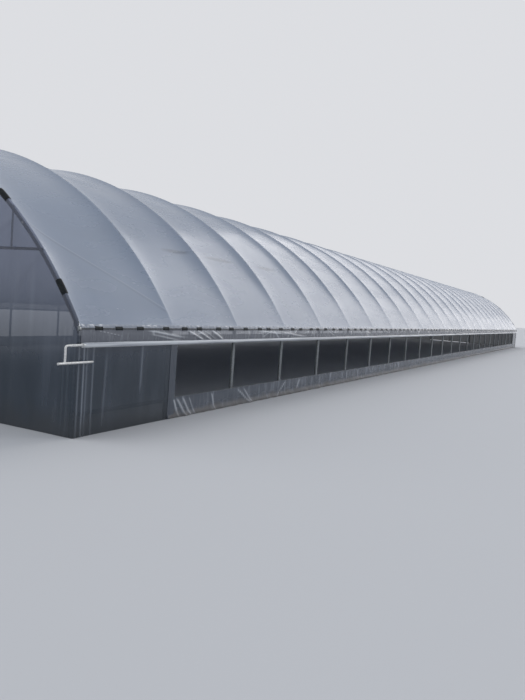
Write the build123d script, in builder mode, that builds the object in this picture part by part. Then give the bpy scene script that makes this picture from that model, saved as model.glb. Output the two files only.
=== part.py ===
from build123d import *
from math import acos, asin, cos, degrees, radians, sin, sqrt
import os

os.makedirs("parts", exist_ok=True)

# Driving sizes, in millimetres.
# X runs along the tunnel, -Y is the front side, Z is up, and z = 0 is the ground.
bay_length = 1500
bay_count = 25
post_spread = 3950          # from the middle of the tunnel to a post's axis
post_height = 1130          # where a post's axis meets the arch's axis
arch_top = 3335             # height of the arch's axis at the ridge
arch_tube = 50              # outer diameter of the arches, posts and door posts
rail_tube = 33.7            # outer diameter of the purlin, headers and braces
eave_tube = 42.4            # outer diameter of the tube along the eaves
film = 3                    # thickness that stands for a sheet of film
running_gap = 0.3           # between two round pieces that are clamped together

brace_head_rise = 230       # where a brace meets the end arch, above the header's axis
brace_foot_rise = 108       # where it meets the next arch, along the arch from its foot
brace_overrun = 60          # what a brace runs on past its lower clamp
brace_gap = 0.6             # a brace meets its arches at a slant

roll_core = 27              # the side curtain's bare tube
roll_diameter = 45          # with its film wound on
curtain_drop = 155          # from the eave tube's axis down to the roll's axis
roll_overhang = 300         # beyond the end arch, at the end with no crank

base_rail_height = 40
base_top = 250              # top edge of the low strip of film

crank_offset = 215          # from the end arch out to the crank's arm
crank_arm = 165             # from the roll's axis down to the handle's axis
crank_bar = 21              # diameter of the arm
crank_bend = 24             # radius of the arm's bend, on its axis
crank_neck = 70             # straight length from the roll's end to the arm
handle_diameter = 25
handle_outer_end = 300      # beyond the end arch
handle_inner_end = -150     # back inside it

header_height = 1800
door_post_spread = 1250
door_post_rise = 60         # what a door post stands above the header's axis
stud_inset = 398            # from the header's end in to a stud
stud_drop = 60              # what a stud hangs below the header's axis

door_gap = 5
door_clearance = 40         # under a leaf
door_bar = 30               # square tube of a leaf's frame
door_meeting_gap = 0.4
door_rail_heights = (640, 1240)
hinge_heights = (300, 1500)
hinge_length = 80

# Worked out from the driving sizes.
half_length = bay_length * bay_count / 2
rise = arch_top - post_height
arch_radius = (post_spread**2 + rise**2) / (2 * rise)
arch_centre = arch_top - arch_radius
spring_angle = degrees(asin(post_spread / arch_radius))
arch_places = [i * bay_length - half_length for i in range(bay_count + 1)]
inner_places = arch_places[1:-1]

arch_face = arch_tube / 2
post_face = post_spread + arch_face
under_arch = arch_radius - arch_face - running_gap - rail_tube / 2
roof_inner = arch_radius + arch_face + running_gap

# The roof film runs straight on from the arches' feet and lands on the eave tubes.
spring_turn = radians(spring_angle)
eave_axis = post_face + running_gap + eave_tube / 2
eave_reach = eave_tube / 2 + running_gap
eave_height = arch_centre + (roof_inner - eave_reach - eave_axis * sin(spring_turn)) / cos(spring_turn)
roll_height = eave_height - curtain_drop

gable_inner = half_length + arch_face + running_gap
gable_outer = gable_inner + film

# The film along the ground hangs plumb below the eave tube, and the base rail fills its space to the posts.
side_inner = eave_axis - film / 2
side_outer = side_inner + film
base_rail_depth = side_inner - post_face
curtain_inner = eave_axis + eave_reach
roll_axis = curtain_inner + film + running_gap + roll_diameter / 2

sides = {"front": -1, "back": 1}
ends = {"near": -1, "far": 1}


def save(shape, name):
    shape.label = name
    export_step(shape, f"parts/{name}.step")


def on_arc(radius, angle):
    """The point at an angle from the vertical, about the centre of the arches, as (y, z)."""
    turn = radians(angle)
    return radius * sin(turn), arch_centre + radius * cos(turn)


# One arch: a round tube bent to an arc, mitred at its foot to the post that carries it.
mitre_turn = radians((90 - spring_angle) / 2)
foot_mitre = Plane(
    origin=(0, post_spread, post_height),
    x_dir=(1, 0, 0),
    z_dir=(0, sin(mitre_turn), cos(mitre_turn)),
)
past_foot = spring_angle + degrees(arch_tube / arch_radius)

with BuildPart() as half_arch:
    with BuildLine(Plane.YZ) as bend:
        CenterArc((0, arch_centre), arch_radius, 90 - past_foot, past_foot)
    with BuildSketch(Plane(origin=bend.line @ 0, z_dir=bend.line % 0)):
        Circle(arch_tube / 2)
    sweep()
    split(bisect_by=foot_mitre, keep=Keep.TOP)

with BuildPart() as arch:
    add(half_arch.part)
    mirror(about=Plane.XZ)

for end, way in ends.items():
    with BuildPart() as end_arch:
        with Locations((way * half_length, 0, 0)):
            add(arch.part)
    save(end_arch.part, f"{end}_end_arch")

group_count = 4
group_size = -(-len(inner_places) // group_count)
for group in range(group_count):
    places = inner_places[group * group_size:(group + 1) * group_size]
    with BuildPart() as inner_arches:
        with Locations(*[(x, 0, 0) for x in places]):
            add(arch.part)
    save(inner_arches.part, f"inner_arches_{group + 1}")

# Posts: the same tube, upright, from the ground to the mitre.
with BuildPart() as post:
    with BuildSketch(Plane.XY):
        with Locations((0, post_spread)):
            Circle(arch_tube / 2)
    extrude(amount=post_height + arch_tube)
    split(bisect_by=foot_mitre, keep=Keep.BOTTOM)

for side, way in sides.items():
    with BuildPart() as posts:
        with Locations(*[Location((x, 0, 0), (0, 0, 0 if way > 0 else 180)) for x in arch_places]):
            add(post.part)
    save(posts.part, f"{side}_posts")

# Ridge purlin: a straight tube clamped under the tops of the arches.
tube_length = 2 * (half_length + arch_face)
with BuildPart() as purlin:
    with BuildSketch(Plane.YZ.offset(-tube_length / 2)):
        with Locations(on_arc(under_arch, 0)):
            Circle(rail_tube / 2)
    extrude(amount=tube_length)
save(purlin.part, "ridge_purlin")

# Eave tubes, clamped to the outside of the posts, and the channels near the ground below them.
for side, way in sides.items():
    with BuildPart() as eave:
        with BuildSketch(Plane.YZ.offset(-tube_length / 2)):
            with Locations((way * eave_axis, eave_height)):
                Circle(eave_tube / 2)
        extrude(amount=tube_length)
    save(eave.part, f"{side}_eave_tube")

    with BuildPart() as base_rail:
        with BuildSketch(Plane.YZ.offset(-tube_length / 2)):
            with Locations((way * (post_face + base_rail_depth / 2), base_top - base_rail_height / 2)):
                Rectangle(base_rail_depth, base_rail_height)
        extrude(amount=tube_length)
    save(base_rail.part, f"{side}_base_rail")

# Braces: a straight tube across each end bay, high on the end arch and low on the next one.
brace_radius = under_arch + running_gap - brace_gap
brace_top_angle = degrees(acos((header_height + brace_head_rise - arch_centre) / brace_radius))
brace_foot_angle = spring_angle - degrees(brace_foot_rise / arch_radius)
for end, end_way in ends.items():
    with BuildPart() as braces:
        for way in sides.values():
            high = Vector(end_way * half_length, *on_arc(brace_radius, way * brace_top_angle))
            low = Vector(end_way * (half_length - bay_length), *on_arc(brace_radius, way * brace_foot_angle))
            along = (low - high).normalized()
            slant = abs(along.X)
            head_overrun = (arch_face - rail_tube / 2 * sqrt(1 - slant**2)) / slant
            with BuildSketch(Plane(origin=high - along * head_overrun, z_dir=along)):
                Circle(rail_tube / 2)
            extrude(amount=(low - high).length + head_overrun + brace_overrun)
    save(braces.part, f"{end}_braces")

# Roof film: one sheet over all the arches, straight from the haunch down onto the eave tubes.
def on_eave(angle, reach):
    turn = radians(angle)
    return eave_axis + reach * sin(turn), eave_height + reach * cos(turn)


def roof_line(offset):
    """One face of the roof film's right half, from the ridge to the side of the eave tube."""
    arc_end = on_arc(roof_inner + offset, spring_angle)
    eave_start = on_eave(spring_angle, eave_reach + offset)
    eave_end = on_eave(90, eave_reach + offset)
    ThreePointArc(on_arc(roof_inner + offset, 0), on_arc(roof_inner + offset, spring_angle / 2), arc_end)
    Line(arc_end, eave_start)
    ThreePointArc(eave_start, on_eave((spring_angle + 90) / 2, eave_reach + offset), eave_end)
    return eave_end


with BuildPart() as roof:
    with BuildSketch(Plane.YZ.offset(-gable_outer)):
        with BuildLine():
            inner_edge = roof_line(0)
            outer_edge = roof_line(film)
            Line(inner_edge, outer_edge)
            mirror(about=Plane.YZ)
        make_face()
    extrude(amount=2 * gable_outer)
save(roof.part, "roof_film")

# Side curtains: the film that hangs from each eave tube and the tube that it is rolled up on.
near_end = half_length + crank_offset - crank_neck
far_end = half_length + roll_overhang
for side, way in sides.items():
    with BuildPart() as curtain:
        with BuildSketch(Plane.YZ.offset(-half_length)):
            with Locations((way * (curtain_inner + film / 2), (eave_height + roll_height) / 2)):
                Rectangle(film, eave_height - roll_height)
        extrude(amount=2 * half_length)
    save(curtain.part, f"{side}_curtain_film")

    with BuildPart() as roll:
        with BuildSketch(Plane.YZ.offset(-near_end)):
            with Locations((way * roll_axis, roll_height)):
                Circle(roll_core / 2)
        extrude(amount=near_end + far_end)
        with BuildSketch(Plane.YZ.offset(-half_length)):
            with Locations((way * roll_axis, roll_height)):
                Circle(roll_diameter / 2)
        extrude(amount=2 * half_length)
    save(roll.part, f"{side}_curtain_roll")

    # The crank: a bar bent down from the roll's end, and across its foot the bar that the hand turns.
    with BuildPart() as crank:
        with BuildLine(Plane.XZ.offset(-way * roll_axis)) as bent_bar:
            FilletPolyline(
                (-near_end, roll_height),
                (-near_end - crank_neck, roll_height),
                (-near_end - crank_neck, roll_height - crank_arm),
                radius=crank_bend,
            )
        with BuildSketch(Plane(origin=bent_bar.line @ 0, z_dir=bent_bar.line % 0)):
            Circle(crank_bar / 2)
        sweep()
        with BuildSketch(Plane.YZ.offset(-half_length - handle_outer_end)):
            with Locations((way * roll_axis, roll_height - crank_arm)):
                Circle(handle_diameter / 2)
        extrude(amount=handle_outer_end - handle_inner_end)
    save(crank.part, f"{side}_crank")

# Low strip of film along the open bays, and the fixed film panel that closes each end bay.
inner_end = half_length - bay_length
panel_top = eave_height - eave_tube / 2
for side, way in sides.items():
    with BuildPart() as base_film:
        with BuildSketch(Plane.YZ.offset(-inner_end)):
            with Locations((way * (side_inner + film / 2), base_top / 2)):
                Rectangle(film, base_top)
        extrude(amount=2 * inner_end)
    save(base_film.part, f"{side}_base_film")

    for end, end_way in ends.items():
        start = inner_end if end_way > 0 else -gable_inner
        with BuildPart() as panel:
            with BuildSketch(Plane.YZ.offset(start)):
                with Locations((way * (side_inner + film / 2), panel_top / 2)):
                    Rectangle(film, panel_top)
            extrude(amount=gable_inner - inner_end)
        save(panel.part, f"{end}_{side}_panel")

# Gables: film over the end arch, a header across it, and the doorway's tube frame.
gable_radius = arch_radius + arch_face
shoulder = arch_centre + sqrt(gable_radius**2 - side_outer**2)
header_axis = half_length - arch_face - running_gap - rail_tube / 2
header_reach = sqrt(arch_radius**2 - (header_height - arch_centre) ** 2)
stud_spread = header_reach - stud_inset
doorway = door_post_spread - arch_face
leaf_width = doorway - door_gap - door_meeting_gap / 2
leaf_height = header_height - door_clearance
stud_slope = degrees(asin(stud_spread / (arch_radius - arch_face)))
stud_seat = Plane(
    origin=(0, *on_arc(arch_radius - arch_face - running_gap, stud_slope)),
    x_dir=(1, 0, 0),
    z_dir=(0, sin(radians(stud_slope)), cos(radians(stud_slope))),
)

with BuildPart() as stud:
    with BuildSketch(Plane.XY.offset(header_height - stud_drop)):
        with Locations((0, stud_spread)):
            Circle(arch_tube / 2)
    extrude(amount=arch_top - header_height)
    split(bisect_by=stud_seat, keep=Keep.BOTTOM)

for end, end_way in ends.items():
    film_start = gable_inner if end_way > 0 else -gable_outer
    with BuildPart() as gable_film:
        with BuildSketch(Plane.YZ.offset(film_start)):
            with BuildLine():
                Polyline((-side_outer, shoulder), (-side_outer, 0), (side_outer, 0), (side_outer, shoulder))
                ThreePointArc((side_outer, shoulder), (0, arch_centre + gable_radius), (-side_outer, shoulder))
            make_face()
            with Locations((0, header_height / 2)):
                Rectangle(2 * doorway, header_height, mode=Mode.SUBTRACT)
        extrude(amount=film)
    save(gable_film.part, f"{end}_gable_film")

    with BuildPart() as header:
        with BuildSketch(Plane.XZ.offset(-header_reach)):
            with Locations((end_way * header_axis, header_height)):
                Circle(rail_tube / 2)
        extrude(amount=2 * header_reach)
    save(header.part, f"{end}_header")

    with BuildPart() as door_posts:
        with BuildSketch(Plane.XY):
            with Locations(*[(end_way * half_length, way * door_post_spread) for way in sides.values()]):
                Circle(arch_tube / 2)
        extrude(amount=header_height + door_post_rise)
    save(door_posts.part, f"{end}_door_posts")

    with BuildPart() as studs:
        with Locations(*[Location((end_way * half_length, 0, 0), (0, 0, turn)) for turn in (0, 180)]):
            add(stud.part)
    save(studs.part, f"{end}_studs")

    # Door leaves: square tube frames with two rails each, hung on the door posts by short hinges.
    for side, way in sides.items():
        leaf_middle = way * (doorway - door_gap - leaf_width / 2)
        face = Plane.YZ.offset(end_way * half_length - door_bar / 2)
        with BuildPart() as leaf:
            with BuildSketch(face):
                with Locations((leaf_middle, door_clearance + leaf_height / 2)):
                    Rectangle(leaf_width, leaf_height)
                    Rectangle(leaf_width - 2 * door_bar, leaf_height - 2 * door_bar, mode=Mode.SUBTRACT)
                with Locations(*[(leaf_middle, z) for z in door_rail_heights]):
                    Rectangle(leaf_width, door_bar)
                with Locations(*[(way * (doorway - door_gap / 2), z) for z in hinge_heights]):
                    Rectangle(door_gap, hinge_length)
            extrude(amount=door_bar)
        save(leaf.part, f"{end}_{side}_door_frame")

    outer_face = end_way * (half_length + door_bar / 2)
    skin_start = outer_face if end_way > 0 else outer_face - film
    with BuildPart() as door_films:
        with BuildSketch(Plane.YZ.offset(skin_start)):
            for way in sides.values():
                leaf_middle = way * (doorway - door_gap - leaf_width / 2)
                with Locations((leaf_middle, door_clearance + leaf_height / 2)):
                    Rectangle(leaf_width, leaf_height)
        extrude(amount=film)
    save(door_films.part, f"{end}_door_films")
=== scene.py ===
import math

import bmesh
import bpy
import numpy as np
from mathutils import Matrix, Vector


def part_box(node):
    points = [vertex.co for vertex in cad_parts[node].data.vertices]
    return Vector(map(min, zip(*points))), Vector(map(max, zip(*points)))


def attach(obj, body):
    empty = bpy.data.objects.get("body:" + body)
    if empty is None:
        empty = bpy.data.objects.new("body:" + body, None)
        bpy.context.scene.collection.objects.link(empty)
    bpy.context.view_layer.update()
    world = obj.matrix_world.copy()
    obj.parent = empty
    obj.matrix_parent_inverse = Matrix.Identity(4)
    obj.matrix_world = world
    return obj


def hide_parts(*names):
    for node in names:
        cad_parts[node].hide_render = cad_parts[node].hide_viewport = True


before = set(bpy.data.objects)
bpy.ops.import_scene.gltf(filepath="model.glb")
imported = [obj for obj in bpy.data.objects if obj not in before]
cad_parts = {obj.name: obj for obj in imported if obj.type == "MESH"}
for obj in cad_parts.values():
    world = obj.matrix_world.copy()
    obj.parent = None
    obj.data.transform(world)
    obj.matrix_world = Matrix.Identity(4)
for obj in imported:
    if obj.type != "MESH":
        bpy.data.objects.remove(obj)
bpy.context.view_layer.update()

# Posts, arches, ridge tube, braces and headers
# Round steel tube, hot-dip galvanised: 50 mm for the hoops and door posts, thinner for what ties them.
# The arches are bent cold and stand on the posts. Their zinc is dull, spangled and soiled at the feet.
bay = 1.5
tube_radius = 0.025
near_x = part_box("near_end_arch")[0].x + tube_radius
far_x = -near_x
bay_count = round((far_x - near_x) / bay)
post_spread = 3.95
post_height = 1.13
arch_top = 3.335
arch_rise = arch_top - post_height
arch_radius = (post_spread**2 + arch_rise**2) / (2 * arch_rise)
arch_centre = arch_top - arch_radius
foot_angle = math.asin(post_spread / arch_radius)
sides = ((-1, "front"), (1, "back"))
ends = ((-1, "near"), (1, "far"))
dry_soil = (0.16, 0.13, 0.10)


def new_material(name, colour, roughness, **sockets):
    """A material with one shader. What is the same all over is set here, on the shader's own sockets."""
    material = bpy.data.materials.new(name)
    material.use_nodes = True
    shader = material.node_tree.nodes["Principled BSDF"]
    shader.inputs["Base Color"].default_value = (*colour, 1)
    shader.inputs["Roughness"].default_value = roughness
    for socket, value in sockets.items():
        shader.inputs[socket.replace("_", " ")].default_value = value
    return material, material.node_tree, shader


def fill(tree, socket, value):
    """Gives an input another node's output, or a value."""
    if isinstance(value, bpy.types.NodeSocket):
        tree.links.new(value, socket)
    else:
        socket.default_value = value


def feed(tree, node, **inputs):
    for label, value in inputs.items():
        fill(tree, node.inputs[label.replace("_", " ")], value)
    return node


def add_node(tree, kind, **inputs):
    return feed(tree, tree.nodes.new(kind), **inputs)


def place(tree, stretch=(1, 1, 1)):
    """Object coordinates, in metres, stretched along each axis."""
    coordinates = add_node(tree, "ShaderNodeTexCoord").outputs["Object"]
    return add_node(tree, "ShaderNodeMapping", Vector=coordinates, Scale=stretch).outputs["Vector"]


def along(tree, axis):
    """One object coordinate, in metres."""
    return add_node(tree, "ShaderNodeSeparateXYZ", Vector=place(tree)).outputs[axis]


def noise(tree, scale, stretch=(1, 1, 1), detail=4):
    texture = add_node(tree, "ShaderNodeTexNoise", Vector=place(tree, stretch), Scale=scale, Detail=detail)
    return texture.outputs["Fac"]


def spread(tree, value, low, high, to_low=0, to_high=1):
    """A value eased from one range to another and held at its ends."""
    node = add_node(tree, "ShaderNodeMapRange", Value=value, From_Min=low, From_Max=high, To_Min=to_low,
                    To_Max=to_high)
    node.interpolation_type = "SMOOTHSTEP"
    return node.outputs["Result"]


def combine(tree, operation, first, second=0):
    node = tree.nodes.new("ShaderNodeMath")
    node.operation = operation
    for socket, value in zip(node.inputs, (first, second)):
        fill(tree, socket, value)
    return node.outputs["Value"]


def tint(tree, factor, first, second):
    """A colour between two others. Each is three numbers or another node's colour."""
    node = tree.nodes.new("ShaderNodeMix")
    node.data_type = "RGBA"
    factor_socket, first_socket, second_socket = node.inputs[0], node.inputs[6], node.inputs[7]
    fill(tree, factor_socket, factor)
    for socket, colour in ((first_socket, first), (second_socket, second)):
        fill(tree, socket, (*colour, 1) if isinstance(colour, tuple) else colour)
    return node.outputs[2]


def splash(tree, scale, reach):
    """Height above the ground, lowered raggedly by up to a reach, for what rain splashes up."""
    return combine(tree, "SUBTRACT", along(tree, "Z"), combine(tree, "MULTIPLY", noise(tree, scale), reach))


def surface(tree, shader, colour, relief, depth, roughness=None):
    """Gives a shader its patterned colour and relief, and its roughness where that varies."""
    tree.links.new(colour, shader.inputs["Base Color"])
    if roughness is not None:
        tree.links.new(roughness, shader.inputs["Roughness"])
    bump = add_node(tree, "ShaderNodeBump", Height=relief, Distance=depth)
    tree.links.new(bump.outputs["Normal"], shader.inputs["Normal"])


def galvanised(name, bright, dull, soil_height, metallic=0.75):
    """Zinc with its spangle, weathered in patches and soiled near the ground."""
    material, tree, shader = new_material(name, dull, roughness=0.45, Metallic=metallic)
    spangle = add_node(tree, "ShaderNodeTexVoronoi", Vector=place(tree), Scale=70)
    flakes = spread(tree, spangle.outputs["Distance"], 0.1, 0.8)
    zinc = tint(tree, flakes, dull, bright)
    weathered = spread(tree, noise(tree, 3, (1, 1, 0.4)), 0.45, 0.7)
    zinc = tint(tree, weathered, zinc, tuple(0.8 * channel for channel in dull))
    soiled_foot = spread(tree, splash(tree, 9, 0.2), -0.1, soil_height, 0.75, 0)
    zinc = tint(tree, soiled_foot, zinc, dry_soil)
    surface(tree, shader, zinc, noise(tree, 160), 0.0002, roughness=spread(tree, flakes, 0, 1, 0.5, 0.36))
    return material


def finish_nodes(material, *names):
    for name in names:
        for material_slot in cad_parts[name].material_slots:
            material_slot.material = material


steel = galvanised("galvanised steel tube", (0.30, 0.32, 0.33), (0.17, 0.185, 0.195), soil_height=0.12)
finish_nodes(steel, "front_posts", "back_posts", "ridge_purlin", "front_eave_tube", "back_eave_tube")
# The arches and the tubes that tie them get a much darker, duller copy of the zinc: painted shade, as they
# stand under the film.
shaded_steel = galvanised("shaded steel tube", (0.10, 0.11, 0.13), (0.05, 0.057, 0.068),
                          soil_height=0.12, metallic=0.25)
arch_nodes = [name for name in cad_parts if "arch" in name]
tie_nodes = [f"{end}_{part}" for _, end in ends for part in ("braces", "header", "door_posts", "studs")]
finish_nodes(shaded_steel, *arch_nodes, *tie_nodes)

# Clamps where the tubes cross
# Pressed straps of zinc-plated steel, each closed round its two tubes by a bolt with a hexagon head.
# One holds the eave tube to each post, one the ridge tube to each arch, and more the braces and headers.
strap = 0.002
strap_width = 0.03
bolt_radius = 0.0075
bolt_length = 0.012
bolt_bevel = 0.8
touch_gap = 0.0003
eave_radius = 0.0212
eave_y = post_spread + tube_radius + touch_gap + eave_radius
roof_radius = arch_radius + tube_radius + touch_gap
eave_reach = roof_radius - eave_radius - touch_gap
eave_z = arch_centre + (eave_reach - eave_y * math.sin(foot_angle)) / math.cos(foot_angle)
tie_radius = 0.01685
under_arch = arch_radius - tube_radius - touch_gap - tie_radius


def turned(axis, toward):
    """A rotation that takes Z to an axis and X as nearly as it can to another direction."""
    z = Vector(axis).normalized()
    x = Vector(toward)
    x = (x - z * x.dot(z)).normalized()
    return Matrix((x, z.cross(x), z)).transposed()


def add_corner(mesh, centre, turn, radius, angle, height):
    """A vertex at a radius, an angle and a height about a turned axis."""
    offset = Vector((radius * math.cos(angle), radius * math.sin(angle), height))
    return mesh.verts.new(Vector(centre) + turn @ offset)


def skin(mesh, loops):
    """Faces from each loop of vertices to the next, with a cap at both ends."""
    for first, second in zip(loops, loops[1:]):
        for i in range(len(first)):
            j = (i + 1) % len(first)
            mesh.faces.new((first[i], first[j], second[j], second[i]))
    mesh.faces.new(loops[0][::-1])
    mesh.faces.new(loops[-1])


def add_ring(mesh, centre, axis, toward, radius, thickness, width, sweep, steps=16):
    """A strap bent round an axis. Its sweep, in degrees, is centred on a direction."""
    turn = turned(axis, toward)
    outside = radius + thickness
    half = width / 2
    corners = ((radius, -half), (outside, -half), (outside, half), (radius, half))
    angles = [math.radians(sweep * (i / steps - 0.5)) for i in range(steps + 1)]
    skin(mesh, [[add_corner(mesh, centre, turn, r, angle, h) for r, h in corners] for angle in angles])


def add_strap(mesh, centre, axis, toward, radius, sweep):
    add_ring(mesh, centre, axis, toward, radius, strap, strap_width, sweep)


def add_bolt(mesh, centre, axis):
    """A hexagon head with its base on a point."""
    toward = (0, 0, 1) if abs(Vector(axis).z) < 0.9 else (1, 0, 0)
    turn = turned(axis, toward)
    shoulder, crown = bolt_bevel * bolt_length, bolt_bevel * bolt_radius
    rims = ((bolt_radius, 0), (bolt_radius, shoulder), (crown, bolt_length))
    angles = [math.radians(60 * i) for i in range(6)]
    skin(mesh, [[add_corner(mesh, centre, turn, r, angle, h) for angle in angles] for r, h in rims])


def to_object(name, mesh, material=None, smooth=False):
    """A linked object at the origin, from a bmesh or a finished mesh."""
    if isinstance(mesh, bmesh.types.BMesh):
        bmesh.ops.recalc_face_normals(mesh, faces=mesh.faces)
        data = bpy.data.meshes.new(name)
        mesh.to_mesh(data)
        mesh.free()
    else:
        data = mesh
    if smooth:
        data.shade_smooth()
    if material:
        data.materials.append(material)
    piece = bpy.data.objects.new(name, data)
    bpy.context.scene.collection.objects.link(piece)
    return piece


def repeating_tree(name, weld=0):
    """Copies of a template along a line, each a little out of place, as one mesh in one material."""
    tree = bpy.data.node_groups.new(name, "GeometryNodeTree")
    tree.interface.new_socket("Geometry", in_out="OUTPUT", socket_type="NodeSocketGeometry")
    for label, kind in (("Template", "Object"), ("Count", "Int"), ("Start", "Vector"), ("Step", "Vector"),
                        ("Wander", "Vector"), ("Seed", "Int"), ("Finish", "Material")):
        tree.interface.new_socket(label, in_out="INPUT", socket_type=f"NodeSocket{kind}")
    given = add_node(tree, "NodeGroupInput").outputs
    line = tree.nodes.new("GeometryNodeMeshLine")
    line.mode = "OFFSET"
    feed(tree, line, Count=given["Count"], Start_Location=given["Start"], Offset=given["Step"])
    opposite = tree.nodes.new("ShaderNodeVectorMath")
    opposite.operation = "SCALE"
    feed(tree, opposite, Vector=given["Wander"], Scale=-1)
    chance = tree.nodes.new("FunctionNodeRandomValue")
    chance.data_type = "FLOAT_VECTOR"
    feed(tree, chance, Min=opposite.outputs["Vector"], Max=given["Wander"], Seed=given["Seed"])
    shifted = add_node(tree, "GeometryNodeSetPosition", Geometry=line.outputs["Mesh"],
                       Offset=chance.outputs["Value"])
    template = add_node(tree, "GeometryNodeObjectInfo", Object=given["Template"])
    copies = add_node(tree, "GeometryNodeInstanceOnPoints", Points=shifted.outputs["Geometry"],
                      Instance=template.outputs["Geometry"])
    whole = add_node(tree, "GeometryNodeRealizeInstances", Geometry=copies.outputs["Instances"])
    if weld:
        whole = add_node(tree, "GeometryNodeMergeByDistance", Geometry=whole.outputs["Geometry"],
                         Distance=weld)
    coated = add_node(tree, "GeometryNodeSetMaterial", Geometry=whole.outputs["Geometry"],
                      Material=given["Finish"])
    add_node(tree, "NodeGroupOutput", Geometry=coated.outputs["Geometry"])
    return tree


def repeated(name, tree, template, **values):
    """The tree's result as a plain mesh object. The template is used up."""
    piece = to_object(name, bpy.data.meshes.new(name))
    modifier = piece.modifiers.new("rule", "NODES")
    modifier.node_group = tree
    values["Template"] = template
    for item in tree.interface.items_tree:
        if item.in_out == "INPUT" and item.name in values:
            modifier[item.identifier] = values[item.name]
    depsgraph = bpy.context.evaluated_depsgraph_get()
    mesh = bpy.data.meshes.new_from_object(piece.evaluated_get(depsgraph), depsgraph=depsgraph)
    piece.modifiers.remove(modifier)
    piece.data = mesh
    bpy.data.objects.remove(template)
    return piece


def on_arc(radius, angle):
    """The y and z of a point at an angle from the vertical, about the centre of the arches."""
    return radius * math.sin(angle), arch_centre + radius * math.cos(angle)


loose_row = repeating_tree("pieces in a row")
zinc_plate = galvanised("zinc plated strap", (0.62, 0.63, 0.62), (0.46, 0.47, 0.47), soil_height=0.05)
each_arch = {"Count": bay_count + 1, "Start": (near_x, 0, 0), "Step": (bay, 0, 0)}

for side, label in sides:
    straps = bmesh.new()
    add_strap(straps, (0, side * post_spread, eave_z), (0, 0, 1), (0, -side, 0), tube_radius, sweep=230)
    add_strap(straps, (0, side * eave_y, eave_z), (1, 0, 0), (0, side, 0), eave_radius, sweep=200)
    add_bolt(straps, (0, side * (post_spread - tube_radius - strap), eave_z), (0, -side, 0))
    template = to_object("eave strap", straps)
    clamps = repeated(f"{label}_eave_clamps", loose_row, template, Finish=zinc_plate, **each_arch)
    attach(clamps, "root")

straps = bmesh.new()
ridge_z = arch_centre + under_arch
add_strap(straps, (0, 0, arch_top), (0, 1, 0), (0, 0, -1), tube_radius, sweep=200)
add_strap(straps, (0, 0, ridge_z), (1, 0, 0), (0, 0, -1), tie_radius, sweep=250)
add_bolt(straps, (0, 0, ridge_z - tie_radius - strap), (0, 0, -1))
template = to_object("ridge strap", straps)
clamps = repeated("ridge_clamps", loose_row, template, Finish=zinc_plate, **each_arch)
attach(clamps, "root")

header_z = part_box("near_header")[0].z + tie_radius
header_x = far_x - tube_radius - touch_gap - tie_radius
header_end = math.sqrt(arch_radius**2 - (header_z - arch_centre) ** 2)
header_strap_inset = 0.03
stud_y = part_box("near_studs")[1].y - tube_radius
door_post_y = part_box("near_door_posts")[1].y - tube_radius
brace_radius = under_arch - touch_gap
brace_above_header = 0.23
brace_above_foot = 0.108
brace_high_angle = math.acos((header_z + brace_above_header - arch_centre) / brace_radius)
brace_angles = (brace_high_angle, foot_angle - brace_above_foot / arch_radius)


def brace_ends(end, side):
    """Where a brace crosses the end arch, and then the next one."""
    return [
        Vector((end * x, *on_arc(brace_radius, side * angle)))
        for x, angle in zip((far_x, far_x - bay), brace_angles)
    ]


for end, label in ends:
    straps = bmesh.new()
    for side, _ in sides:
        high, low = brace_ends(end, side)
        for centre, angle in zip((high, low), brace_angles):
            outward = Vector((0, math.sin(side * angle), math.cos(angle)))
            tangent = Vector((0, math.cos(angle), -math.sin(side * angle)))
            arch_axis = centre + outward * (arch_radius - brace_radius)
            add_strap(straps, centre, low - high, -outward, tie_radius, sweep=250)
            add_strap(straps, arch_axis, tangent, -outward, tube_radius, sweep=190)
            add_bolt(straps, centre - outward * (tie_radius + strap), -outward)
        for y in (header_end - header_strap_inset, stud_y, door_post_y):
            centre = Vector((end * header_x, side * y, header_z))
            add_strap(straps, centre, (0, 1, 0), (-end, 0, 0), tie_radius, sweep=230)
            add_bolt(straps, centre - Vector((end * (tie_radius + strap), 0, 0)), (-end, 0, 0))
    clamps = to_object(f"{label}_gable_clamps", straps, zinc_plate)
    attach(clamps, "root")

# Base rails
# A rolled channel of galvanised steel, screwed to the outside of the posts just above the ground.
channel = galvanised("galvanised channel", (0.50, 0.52, 0.52), (0.38, 0.40, 0.40), soil_height=0.24)
finish_nodes(channel, "front_base_rail", "back_base_rail")

# Roof film
# One sheet of milky polythene drawn over all the arches and down to the eave tubes.
# It is tight across each arch and dips between them, least at the ridge, where it lies on the ridge tube.
film_thickness = 0.0008
crest = roof_radius + 0.0004
ridge_dip = 0.037
haunch_dip = 0.064
dip_ends = 0.014
ridge_zone = (math.radians(3), math.radians(13))
eave_zone = (math.radians(44), math.radians(58))
arch_grip = 8.5
film_on_tube = eave_radius + 0.0018
arc_rows = 96
runs_down = (0.33, 0.67, 1)
half_columns = (0, 0.002, 0.008, 0.022, 0.045, 0.08, 0.13, 0.19, 0.26, 0.34, 0.42, 0.5)
columns = np.array(half_columns + tuple(1 - t for t in half_columns[-2::-1]))


def ease(value, low, high):
    t = np.clip((value - low) / (high - low), 0, 1)
    return t * t * (3 - 2 * t)


def sag_share(t):
    """The film's share of its full dip, from one arch at 0 to the next at 1, steepest beside each."""
    middle = math.cosh(arch_grip / 2)
    return (middle - math.cosh(arch_grip * (t - 0.5))) / (middle - 1)


def dip_depth(angle):
    """How far the film hangs inside the arches, halfway between two of them."""
    angle = abs(angle)
    depth = ridge_dip + (haunch_dip - ridge_dip) * ease(angle, *ridge_zone)
    return depth + (dip_ends - depth) * ease(angle, *eave_zone)


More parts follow.
